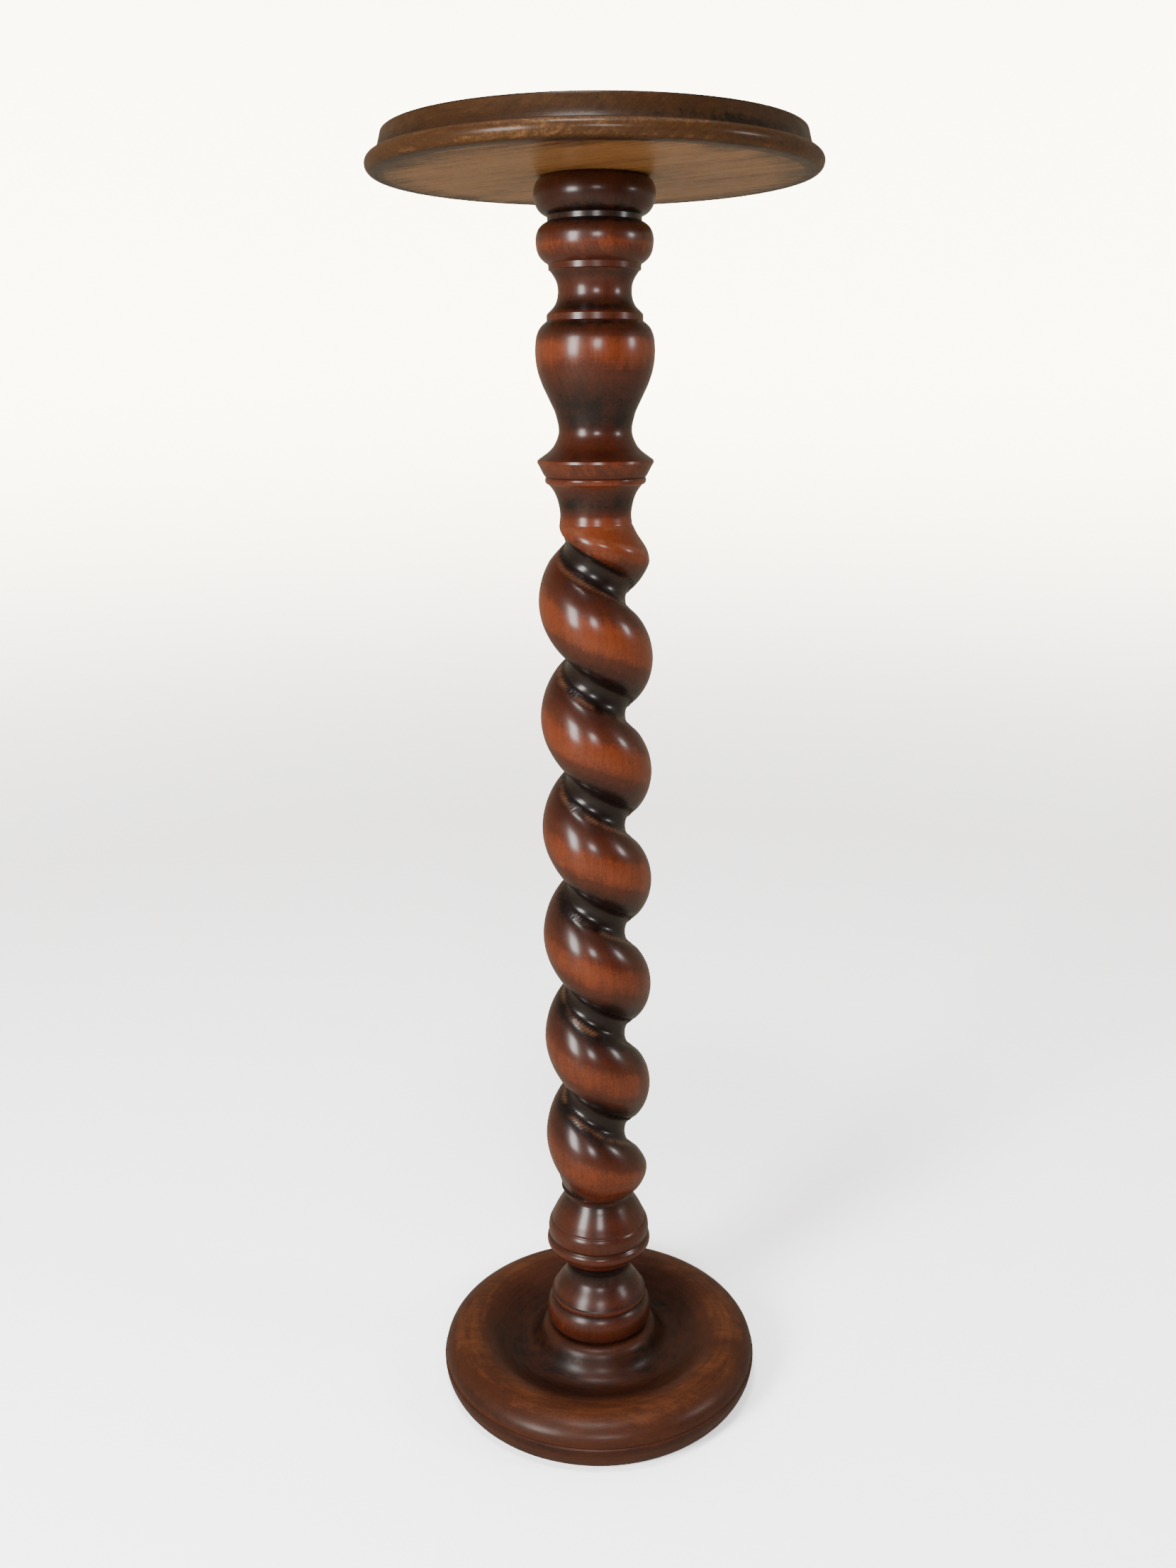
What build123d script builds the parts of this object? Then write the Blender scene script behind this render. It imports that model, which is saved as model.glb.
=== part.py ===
from build123d import *
import os
from math import pi, cos, sin, sqrt, radians

# Barley-twist pedestal stand: a round top and a round dished base, both edge-glued from boards,
# joined by a turned column in three lengths. Millimetres, +Z up, origin on the floor under the
# middle of the column. -Y is the front.

# ---------------------------------------------------------------- driving dimensions
HEIGHT = 1000.0            # floor to the top face

TOP_T = 27.5               # thickness of the top
TOP_R = 159.7              # largest radius, on the bead
TOP_UPPER_R = 148.4        # radius of the upper edge
TOP_BEAD_R = 6.2           # bead round the lower edge
TOP_JOINT = -14.5          # edge joint between the two top boards, off the axis, in the boards' own frame
TOP_GRAIN_DEG = -36.6      # direction of the top's grain and joint, about +Z from +X

BASE_R = 134.5             # largest radius of the base
BASE_FOOT_R = 122.5        # radius of the face on the floor; the edge curves in below the arris
BASE_HUB_Z = 49.0          # height of the hub, where the column stands
BASE_RIM_Z = 43.0          # height of the rim's crest
BASE_JOINT = 20.0          # edge joint between the two base boards, off the axis, in the boards' own frame
BASE_GRAIN_DEG = -8.0      # direction of the base's grain and joint, about +Z from +X

TWIST_R = 43.4             # radius over the rounded ridge
TWIST_LIP_R = 27.3         # radius at the lips of the hollow
TWIST_CORE_R = 22.3        # radius at the bottom of the hollow
TWIST_PITCH = 89.3         # one turn of the single left-hand ridge
TWIST_HOLLOW_W = 22.6      # width of the hollow along the axis, lips included
TWIST_LIP_W = 1.5          # flat land along each lip
TWIST_POWER = 0.62         # fullness of the ridge
TWIST_FRONT_Z = 609.1      # height at which the hollow's centre crosses the front

COLLAR_Z = 767.3           # joint between the capital turning and the twist
FOOT_JOINT_Z = 117.0       # joint between the twist and the foot turning

DOWEL_R = 10.0             # column dowels
DOWEL_L = 70.0
DOWEL_FIT = 0.10           # radial clearance of a glued dowel
END_GAP = 1.0              # glue space at each end of a dowel

EDGE_DOWEL_R = 4.0         # dowels across the board joints
EDGE_DOWEL_L = 30.0

SPIGOT_R = 17.0            # spigot under the foot turning, in the base's mortise
SPIGOT_L = 12.0

os.makedirs("parts", exist_ok=True)


# ---------------------------------------------------------------- helpers
def turned(lines):
    """Solid of revolution about Z from a closed outline of edges in the XZ plane."""
    face = Plane.XZ * make_face(lines)
    return revolve(face, Axis.Z, 360)


def outline(points, z_low, z_high):
    """Closed outline from the axis at z_low, along the given pieces, back to the axis at z_high."""
    first = points[0][0]
    last = points[-1][-1]
    edges = []
    if first[0] > 0:
        edges.append(Line((0, z_low), first))
    for piece in points:
        if len(piece) == 2:
            edges.append(Line(piece[0], piece[1]))
        else:
            edges.append(Spline(*piece))
    edges.append(Line(last, (0, z_high)))
    edges.append(Line((0, z_high), (0, z_low)))
    return edges


def rod(radius, z0, z1, x=0.0, y=0.0, chamfer_len=0.0):
    body = Cylinder(radius, z1 - z0, align=(Align.CENTER, Align.CENTER, Align.MIN))
    if chamfer_len:
        body = chamfer(body.edges().filter_by(GeomType.CIRCLE), chamfer_len)
    return Pos(x, y, z0) * body


def bead(cx, cz, r, deg0, deg1, n=7):
    """Points on an arc of an edge profile."""
    return [(cx + r * cos(radians(deg0 + (deg1 - deg0) * i / (n - 1))),
             cz + r * sin(radians(deg0 + (deg1 - deg0) * i / (n - 1)))) for i in range(n)]


# ---------------------------------------------------------------- top, two edge-glued boards
Z_UNDER = HEIGHT - TOP_T
bc = TOP_R - TOP_BEAD_R
top_profile = [
    [(bc, Z_UNDER), *bead(bc, Z_UNDER + TOP_BEAD_R, TOP_BEAD_R, -90, 90, 13)[1:]],
    [(bc, Z_UNDER + 2 * TOP_BEAD_R), (bc - 0.9, Z_UNDER + 2 * TOP_BEAD_R + 0.5)],
    [(bc - 0.9, Z_UNDER + 2 * TOP_BEAD_R + 0.5), (bc - 2.6, Z_UNDER + 16.4), (bc - 4.0, Z_UNDER + 21.0), (TOP_UPPER_R, Z_UNDER + 25.2)],
    [(TOP_UPPER_R, Z_UNDER + 25.2), (TOP_UPPER_R - 0.35, HEIGHT - 1.1), (TOP_UPPER_R - 1.0, HEIGHT - 0.35), (TOP_UPPER_R - 2.2, HEIGHT)],
]
top = turned(outline(top_profile, Z_UNDER, HEIGHT))

INSERT_R, INSERT_L, STUD_R = 6.0, 16.0, 4.0
top -= rod(INSERT_R, Z_UNDER - 1, Z_UNDER + INSERT_L)               # threaded insert
top -= rod(STUD_R + 0.3, Z_UNDER, Z_UNDER + INSERT_L + 4)           # room above the stud



def slab(y0, y1, z0, z1, deg=0.0):
    """Block that keeps the boards between y0 and y1 across the grain."""
    return Rot(0, 0, deg) * (Pos(0, (y0 + y1) / 2, (z0 + z1) / 2) * Box(400, y1 - y0, z1 - z0))


def edge_dowels(joint, deg, z, xs):
    """Holes and dowels across a board joint."""
    holes, pins = [], []
    for x in xs:
        place = Rot(0, 0, deg) * Pos(x, joint, z) * Rot(90, 0, 0)
        holes.append(place * Cylinder(EDGE_DOWEL_R + DOWEL_FIT, EDGE_DOWEL_L + 2 * END_GAP))
        pin = Cylinder(EDGE_DOWEL_R, EDGE_DOWEL_L)
        pins.append((place * chamfer(pin.edges().filter_by(GeomType.CIRCLE), 1.0)).solid())
    return holes, pins


top_holes, top_dowels = edge_dowels(TOP_JOINT, TOP_GRAIN_DEG, Z_UNDER + 12.0, (-105.0, -48.0, 48.0, 105.0))
for hole in top_holes:
    top -= hole
top_boards = {
    "top_board_front": top & slab(-200, TOP_JOINT, Z_UNDER - 5, HEIGHT + 5, TOP_GRAIN_DEG),
    "top_board_back": top & slab(TOP_JOINT, 200, Z_UNDER - 5, HEIGHT + 5, TOP_GRAIN_DEG),
}

# ---------------------------------------------------------------- capital turning
capital_profile = [
    [(37.4, COLLAR_Z), (38.6, COLLAR_Z + 1.8), (40.9, COLLAR_Z + 6.2), (43.2, COLLAR_Z + 10.2)],
    [(43.2, COLLAR_Z + 10.2), (43.0, COLLAR_Z + 12.0)],
    [(43.0, COLLAR_Z + 12.0), (37.9, 783.0), (34.0, 786.0), (31.2, 789.0), (29.4, 792.0), (28.0, 795.2), (27.2, 798.2),
     (27.0, 801.0), (27.2, 804.0), (27.9, 807.1), (29.6, 813.2), (32.3, 819.1), (35.2, 825.2), (38.0, 831.0), (40.3, 836.9),
     (42.1, 843.0), (43.1, 849.0), (43.5, 855.5), (43.3, 860.6), (42.4, 866.4), (41.3, 869.5), (39.6, 872.4), (36.8, 875.1), (34.9, 876.6)],
    [(34.9, 876.6), (34.9, 881.0)],
    [(34.9, 881.0), (33.9, 882.2)],
    [(33.9, 882.2), (31.6, 884.4), (29.4, 886.8), (27.8, 889.8), (27.0, 892.6), (26.6, 896.0), (26.7, 899.0), (27.3, 902.4),
     (28.5, 905.2), (30.4, 908.2), (32.0, 910.4)],
    [(32.0, 910.4), (33.2, 911.0)],
    [(33.2, 911.0), (33.4, 915.0)],
    [(33.4, 915.0), (36.4, 916.9), (38.9, 919.4), (40.4, 921.8), (41.4, 924.8), (41.9, 928.2), (42.0, 931.2), (41.7, 934.0),
     (40.9, 936.6), (39.4, 939.2), (37.2, 941.3), (34.6, 942.7)],
    [(34.6, 942.7), (33.6, 943.4)],
    [(33.6, 943.4), (33.7, 946.8)],
    [(33.7, 946.8), (36.4, 948.0), (39.4, 950.3), (41.6, 953.6), (42.8, 957.2), (43.2, 960.6), (42.9, 964.2), (41.9, 967.6),
     (40.2, 970.2), (37.8, 972.0), (36.4, Z_UNDER)],
]
capital = turned(outline(capital_profile, COLLAR_Z, Z_UNDER))
STUD_WOOD_L = 50.0
capital -= rod(STUD_R, Z_UNDER - STUD_WOOD_L, Z_UNDER + 1)
capital -= rod(DOWEL_R + DOWEL_FIT, COLLAR_Z - 1, COLLAR_Z + DOWEL_L / 2 + END_GAP)

# ---------------------------------------------------------------- twist shaft
def ridge_radius(s):
    """Radius at axial distance s from the centre of the hollow."""
    half = TWIST_PITCH / 2
    s = abs((s + half) % TWIST_PITCH - half)
    lip_in = TWIST_HOLLOW_W / 2 - TWIST_LIP_W
    lip_out = TWIST_HOLLOW_W / 2
    if s <= lip_in:
        return TWIST_CORE_R + (TWIST_LIP_R - 0.3 - TWIST_CORE_R) * (1 - sqrt(max(0.0, 1 - (s / lip_in) ** 2)))
    if s <= lip_out:
        return TWIST_LIP_R - 0.3 * (lip_out - s) / TWIST_LIP_W
    t = (half - s) / (half - lip_out)
    return TWIST_LIP_R + (TWIST_R - TWIST_LIP_R) * max(0.0, cos(pi / 2 * min(1.0, t))) ** TWIST_POWER


SHAFT_Z0, SHAFT_Z1 = 140.0, 748.0


def angle_at(s, z):
    """Azimuth where the section at height z is s along the pitch from the hollow's centre."""
    return (s - z + TWIST_FRONT_Z) / TWIST_PITCH * 2 * pi - pi / 2


h = TWIST_PITCH / 2
a = TWIST_HOLLOW_W / 2
b = a - TWIST_LIP_W
ridge_steps = [a + (2 * (h - a)) * k for k in
               (0.0, 0.003, 0.010, 0.022, 0.04, 0.065, 0.10, 0.14, 0.19, 0.25, 0.32, 0.40, 0.5,
                0.60, 0.68, 0.75, 0.81, 0.86, 0.90, 0.935, 0.96, 0.978, 0.990, 0.997, 1.0)]
hollow_steps = [-b + 2 * b * k for k in (0.0, 0.006, 0.03, 0.08, 0.16, 0.27, 0.38, 0.5, 0.62, 0.73, 0.84, 0.92, 0.97, 0.994, 1.0)]


def on_section(s, z, r=None):
    ang = angle_at(s, z)
    r = ridge_radius(s) if r is None else r
    return (r * cos(ang), r * sin(ang))


z = SHAFT_Z0
ridge = Spline(*[on_section(s, z) for s in ridge_steps])
hollow = Spline(*[on_section(s, z) for s in hollow_steps])
land_a = Line(on_section(b, z), on_section(a, z))
land_b = Line(on_section(-a, z), on_section(-b, z))
section = make_face([ridge, land_a, hollow, land_b])
length = SHAFT_Z1 - SHAFT_Z0
twist = Solid.extrude_linear_with_rotation(section.face(), (0, 0, 0), (0, 0, length), -360.0 * length / TWIST_PITCH)
twist = Pos(0, 0, SHAFT_Z0) * twist

# the hollow runs out into the necks at both ends
RUNOUT_Z0 = FOOT_JOINT_Z - 20.0
runout = turned([
    Line((0, RUNOUT_Z0), (60, RUNOUT_Z0)), Line((60, RUNOUT_Z0), (60, 172)), Line((60, 172), (28.0, 172)),
    Spline((28.0, 172), (26.9, 181), (24.4, 193), (21.0, 206), (16.0, 216)), Line((16.0, 216), (16.0, 708)),
    Spline((16.0, 708), (21.0, 717), (24.0, 727), (26.4, 738), (27.2, 745)), Line((27.2, 745), (60, 745)),
    Line((60, 745), (60, SHAFT_Z1 + 25)), Line((60, SHAFT_Z1 + 25), (0, SHAFT_Z1 + 25)), Line((0, SHAFT_Z1 + 25), (0, RUNOUT_Z0)),
])
blank_profile = [
    [(27.0, FOOT_JOINT_Z - 10.0), (27.6, FOOT_JOINT_Z - 6.0), (33.6, FOOT_JOINT_Z - 0.4)],
    [(33.6, FOOT_JOINT_Z - 0.4), (34.2, FOOT_JOINT_Z + 0.6)],
    [(34.2, FOOT_JOINT_Z + 0.6), (36.6, 121.8), (39.6, 124.6)],
    [(39.6, 124.6), (42.0, 125.2), (43.6, 127.0), (44.0, 129.6), (43.4, 132.4), (41.8, 134.4)],
    [(41.8, 134.4), (41.2, 135.0)],
    [(41.2, 135.0), (42.2, 136.4), (42.7, 139.6), (42.6, 142.6), (41.8, 146.0), (40.4, 148.8)],
    [(40.4, 148.8), (39.4, 149.6)],
    [(39.4, 149.6), (39.3, 151.0)],
    [(39.3, 151.0), (38.0, 153.4), (36.0, 157.0), (33.4, 160.8), (30.6, 164.4), (28.4, 167.6), (27.6, 170.6), (28.6, 173.4),
     (31.2, 175.6), (34.2, 178.2), (37.0, 181.4), (39.4, 186.0), (41.2, 191.6), (42.8, 200.0), (43.6, 212.0), (43.8, 226.0)],
    [(43.8, 226.0), (43.8, 672.0)],
    [(43.8, 672.0), (43.4, 686.0), (42.3, 696.0), (40.9, 703.4), (39.8, 709.4), (38.3, 714.2), (35.2, 719.4), (31.4, 725.0),
     (28.6, 730.6), (27.1, 735.2), (26.6, 739.0), (26.9, 743.2), (28.0, 749.0), (30.2, 755.0), (32.2, 758.4), (34.6, 761.4)],
    [(34.6, 761.4), (36.9, 762.6)],
    [(36.9, 762.6), (37.5, 764.4), (37.4, 766.2), (36.6, COLLAR_Z)],
]
SHAFT_LOW = FOOT_JOINT_Z - 10.0
blank = turned(outline(blank_profile, SHAFT_LOW, COLLAR_Z))
shaft = blank & (twist + runout)
shaft -= rod(DOWEL_R + DOWEL_FIT, COLLAR_Z - DOWEL_L / 2 - END_GAP, COLLAR_Z + 1)
shaft -= rod(DOWEL_R + DOWEL_FIT, SHAFT_LOW - 1, SHAFT_LOW + DOWEL_L / 2 + END_GAP)

collar_dowel = rod(DOWEL_R, COLLAR_Z - DOWEL_L / 2, COLLAR_Z + DOWEL_L / 2, chamfer_len=1.5)
foot_dowel = rod(DOWEL_R, SHAFT_LOW - DOWEL_L / 2, SHAFT_LOW + DOWEL_L / 2, chamfer_len=1.5)

# ---------------------------------------------------------------- foot turning
foot_profile = [
    [(SPIGOT_R, BASE_HUB_Z - SPIGOT_L), (SPIGOT_R, BASE_HUB_Z)],
    [(SPIGOT_R, BASE_HUB_Z), (37.0, BASE_HUB_Z)],
    [(37.0, BASE_HUB_Z), (40.6, 50.6), (43.2, 54.0), (44.4, 58.4), (44.5, 62.6), (43.8, 67.0), (42.2, 71.0), (40.2, 73.8)],
    [(40.2, 73.8), (39.4, 74.6)],
    [(39.4, 74.6), (40.2, 75.6), (40.4, 77.6), (39.8, 79.6)],
    [(39.8, 79.6), (38.8, 80.4)],
    [(38.8, 80.4), (37.4, 83.0), (35.4, 86.4), (32.6, 90.2), (29.8, 93.8), (27.8, 97.4), (26.9, 101.2), (26.6, 104.2), (26.8, SHAFT_LOW)],
]
foot = turned(outline(foot_profile, BASE_HUB_Z - SPIGOT_L, SHAFT_LOW))
COACH_R, COACH_L = 4.0, 80.0
coach_low = 12.0                                     # underside of the screw's flange, in the base
foot -= rod(DOWEL_R + DOWEL_FIT, SHAFT_LOW - DOWEL_L / 2 - END_GAP, SHAFT_LOW + 1)
foot -= rod(COACH_R, BASE_HUB_Z - SPIGOT_L - 1, SHAFT_LOW - DOWEL_L / 2 - END_GAP - 3.0)

# ---------------------------------------------------------------- base, two edge-glued boards
base_profile = [
    [(BASE_FOOT_R, 0), (BASE_FOOT_R + 1.9, 0.5), (BASE_FOOT_R + 3.4, 1.7)],
    [(BASE_FOOT_R + 3.4, 1.7), (129.6, 5.6), (132.7, 11.4), (134.2, 17.4), (BASE_R, 22.6)],
    [(BASE_R, 22.6), (133.2, 23.5)],
    [(133.2, 23.5), (133.5, 24.6), (133.2, 27.6), (131.6, 31.9), (128.2, 36.0), (123.4, 39.5), (117.4, 41.9), (110.8, 42.9), (104.6, BASE_RIM_Z),
     (98.0, 41.6), (91.0, 37.8), (84.0, 33.0), (76.0, 28.6), (68.0, 26.6), (60.6, 28.4), (55.6, 32.4), (52.6, 37.0), (50.6, 41.4),
     (48.2, 45.4), (44.8, 48.1), (41.0, BASE_HUB_Z)],
]
base = turned(outline(base_profile, 0, BASE_HUB_Z))
base -= rod(SPIGOT_R + DOWEL_FIT, BASE_HUB_Z - SPIGOT_L - END_GAP, BASE_HUB_Z + 1)
base -= rod(COACH_R + 0.5, -1, BASE_HUB_Z)
base -= rod(14.0, -1, coach_low + 2.0)               # counterbore for the washer and the screw head

base_holes, base_dowels = edge_dowels(BASE_JOINT, BASE_GRAIN_DEG, 13.0, (-95.0, -50.0, 50.0, 95.0))
for hole in base_holes:
    base -= hole
base_boards = {
    "base_board_front": base & slab(-200, BASE_JOINT, -5, BASE_HUB_Z + 5, BASE_GRAIN_DEG),
    "base_board_back": base & slab(BASE_JOINT, 200, -5, BASE_HUB_Z + 5, BASE_GRAIN_DEG),
}

# ---------------------------------------------------------------- metal fastenings
# threaded insert in the top: a knurled sleeve
insert = rod(INSERT_R, Z_UNDER, Z_UNDER + INSERT_L) - rod(STUD_R, Z_UNDER - 1, Z_UNDER + INSERT_L + 1)

# hanger bolt: wood thread down into the capital, machine thread up into the insert
hanger = rod(STUD_R, Z_UNDER - STUD_WOOD_L + 4, Z_UNDER + INSERT_L)
hanger += Pos(0, 0, Z_UNDER - STUD_WOOD_L) * Cone(1.0, STUD_R, 4.0, align=(Align.CENTER, Align.CENTER, Align.MIN))

# washer and hexagon-head coach screw in the base's counterbore
washer = rod(12.0, coach_low, coach_low + 2.0) - rod(COACH_R + 0.5, coach_low - 1, coach_low + 3.0)
head = Pos(0, 0, coach_low - 5.5) * extrude(RegularPolygon(6.5, 6, major_radius=False), 5.5)
coach = head + rod(COACH_R, coach_low, SHAFT_LOW - DOWEL_L / 2 - END_GAP - 8.0)

# ---------------------------------------------------------------- write the nodes
nodes = {}
nodes.update(top_boards)
nodes["top_edge_dowels"] = Compound(children=top_dowels)
nodes["top_threaded_insert"] = insert
nodes["top_hanger_bolt"] = hanger
nodes["capital_turning"] = capital
nodes["collar_dowel"] = collar_dowel
nodes["twist_shaft"] = shaft
nodes["foot_dowel"] = foot_dowel
nodes["foot_turning"] = foot
nodes.update(base_boards)
nodes["base_edge_dowels"] = Compound(children=base_dowels)
nodes["base_washer"] = washer
nodes["base_coach_screw"] = coach

for name, shape in nodes.items():
    export_step(shape, f"parts/{name}.step")
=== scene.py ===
import bpy
import math
import numpy as np
from mathutils import Matrix, Vector


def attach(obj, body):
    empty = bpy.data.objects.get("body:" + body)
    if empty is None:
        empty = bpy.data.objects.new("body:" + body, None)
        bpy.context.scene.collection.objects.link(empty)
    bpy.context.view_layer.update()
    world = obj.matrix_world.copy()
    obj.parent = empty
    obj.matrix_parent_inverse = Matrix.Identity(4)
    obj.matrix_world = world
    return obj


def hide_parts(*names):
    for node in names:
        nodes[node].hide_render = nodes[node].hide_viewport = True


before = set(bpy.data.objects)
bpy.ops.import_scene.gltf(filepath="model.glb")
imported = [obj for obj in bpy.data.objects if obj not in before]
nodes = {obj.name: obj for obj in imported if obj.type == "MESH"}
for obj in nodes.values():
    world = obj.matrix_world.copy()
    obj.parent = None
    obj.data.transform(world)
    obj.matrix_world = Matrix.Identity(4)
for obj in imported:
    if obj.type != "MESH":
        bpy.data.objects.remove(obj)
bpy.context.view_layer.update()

scene = bpy.context.scene

# ---------------------------------------------------------------- node helpers
class Tree:
    """Small helper round a material's node tree: every method returns an output socket."""

    def __init__(self, name):
        self.mat = bpy.data.materials.new(name)
        self.mat.use_nodes = True
        self.nt = self.mat.node_tree
        self.nt.nodes.clear()
        self.out = self.nt.nodes.new("ShaderNodeOutputMaterial")

    def new(self, kind, **props):
        n = self.nt.nodes.new(kind)
        for k, v in props.items():
            setattr(n, k, v)
        return n

    def put(self, socket, value):
        if isinstance(value, bpy.types.NodeSocket):
            self.nt.links.new(value, socket)
        else:
            socket.default_value = value

    def math(self, op, a, b=0.0, c=0.0, clamp=False):
        n = self.new("ShaderNodeMath", operation=op, use_clamp=clamp)
        self.put(n.inputs[0], a)
        self.put(n.inputs[1], b)
        self.put(n.inputs[2], c)
        return n.outputs[0]

    def add(self, a, b):
        return self.math("ADD", a, b)

    def mul(self, a, b):
        return self.math("MULTIPLY", a, b)

    def vmath(self, op, a, b=(0, 0, 0)):
        n = self.new("ShaderNodeVectorMath", operation=op)
        self.put(n.inputs[0], a)
        self.put(n.inputs[1], b)
        return n.outputs["Value"] if op in ("LENGTH", "DOT_PRODUCT", "DISTANCE") else n.outputs["Vector"]

    def remap(self, v, a, b, c=0.0, d=1.0, smooth=True):
        n = self.new("ShaderNodeMapRange", clamp=True, interpolation_type="SMOOTHSTEP" if smooth else "LINEAR")
        for i, x in enumerate((v, a, b, c, d)):
            self.put(n.inputs[i], x)
        return n.outputs[0]

    def ramp(self, v, stops, interp="EASE"):
        n = self.new("ShaderNodeValToRGB")
        cr = n.color_ramp
        cr.interpolation = interp
        while len(cr.elements) < len(stops):
            cr.elements.new(0.5)
        for e, (p, c) in zip(cr.elements, stops):
            e.position = p
            e.color = (c, c, c, 1) if isinstance(c, (int, float)) else (*c, 1)
        self.put(n.inputs[0], v)
        return n.outputs[0]

    def noise(self, vec, scale, detail=3.0, rough=0.55, dist=0.0, seed=0.0):
        n = self.new("ShaderNodeTexNoise", noise_dimensions="4D")
        self.put(n.inputs["Vector"], vec)
        n.inputs["W"].default_value = seed
        n.inputs["Scale"].default_value = scale
        n.inputs["Detail"].default_value = detail
        n.inputs["Roughness"].default_value = rough
        n.inputs["Distortion"].default_value = dist
        return n.outputs["Fac"]

    def noise_vec(self, vec, scale, detail=2.0, seed=0.0):
        n = self.new("ShaderNodeTexNoise", noise_dimensions="4D")
        self.put(n.inputs["Vector"], vec)
        n.inputs["W"].default_value = seed
        n.inputs["Scale"].default_value = scale
        n.inputs["Detail"].default_value = detail
        return self.vmath("SUBTRACT", n.outputs["Color"], (0.5, 0.5, 0.5))

    def voronoi(self, vec, scale=1.0, feature="F1", seed=0.0, rand=1.0):
        n = self.new("ShaderNodeTexVoronoi", voronoi_dimensions="4D", feature=feature)
        self.put(n.inputs["Vector"], vec)
        n.inputs["W"].default_value = seed
        n.inputs["Scale"].default_value = scale
        n.inputs["Randomness"].default_value = rand
        return n.outputs["Distance"], n.outputs["Color"]

    def xyz(self, v):
        n = self.new("ShaderNodeSeparateXYZ")
        self.put(n.inputs[0], v)
        return n.outputs

    def join(self, x, y, z):
        n = self.new("ShaderNodeCombineXYZ")
        for i, v in enumerate((x, y, z)):
            self.put(n.inputs[i], v)
        return n.outputs[0]

    def mix(self, f, a, b, mode="MIX"):
        n = self.new("ShaderNodeMix", data_type="RGBA", blend_type=mode, clamp_factor=True)
        self.put(n.inputs[0], f)
        for s, v in ((n.inputs[6], a), (n.inputs[7], b)):
            self.put(s, v if isinstance(v, bpy.types.NodeSocket) else (*v, 1.0))
        return n.outputs[2]

    def bump(self, height, dist, strength=1.0, normal=None):
        n = self.new("ShaderNodeBump")
        n.inputs["Strength"].default_value = strength
        n.inputs["Distance"].default_value = dist
        self.put(n.inputs["Height"], height)
        if normal is not None:
            self.put(n.inputs["Normal"], normal)
        return n.outputs[0]

    def principled(self, **inputs):
        n = self.new("ShaderNodeBsdfPrincipled")
        for k, v in inputs.items():
            self.put(n.inputs[k.replace("_", " ")], v)
        self.nt.links.new(n.outputs[0], self.out.inputs[0])
        return n


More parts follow.
